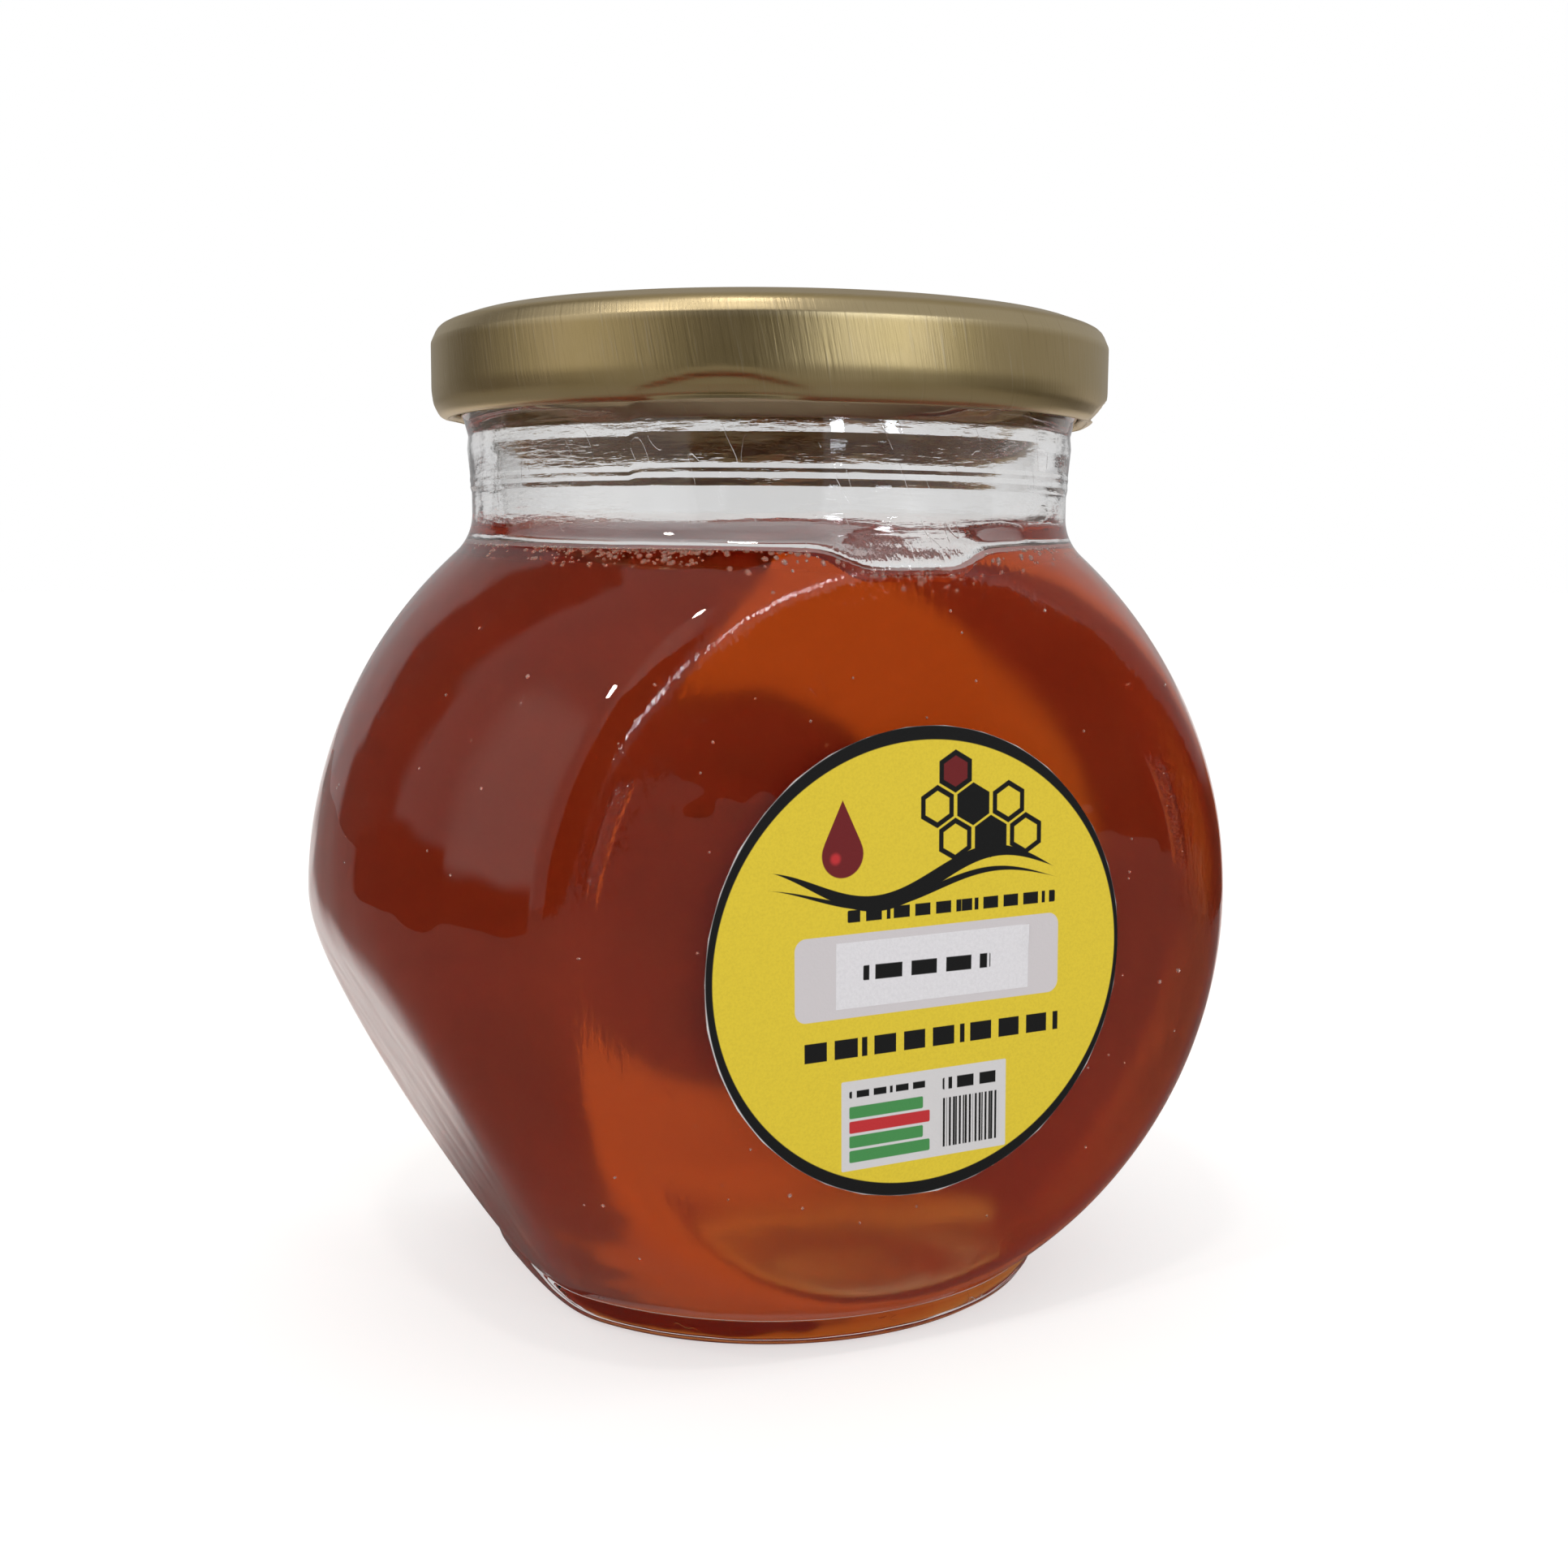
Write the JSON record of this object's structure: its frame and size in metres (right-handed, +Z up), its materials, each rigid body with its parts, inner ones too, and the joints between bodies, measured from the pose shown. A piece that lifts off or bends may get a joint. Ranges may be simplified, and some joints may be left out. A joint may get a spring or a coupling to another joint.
{
  "type": "honey jar",
  "caption": "Clear glass globe jar with two flat round faces, a slanted rest flat, a brassy lug cap and round paper labels, filled with amber honey.",
  "frame": {"origin": "on the ground under the centre of the neck", "axes": "+Z up along the neck's axis; the labelled flat face looks along -Y; the slanted rest flat is on the -X side"},
  "size_m": [0.1169, 0.085, 0.1205],
  "materials": {
    "jar_glass": "clear polished glass",
    "honey": "clear amber honey",
    "lid_metal": "satin gold lacquer on tinplate",
    "label_paper": "matt printed paper",
    "sticker_paper": "matt white paper"
  },
  "bodies": {
    "root": {"jar": "jar_glass", "honey": "honey", "lid": "lid_metal", "label": "label_paper", "sticker": "sticker_paper", "back_label": "label_paper"}
  },
  "joints": []
}
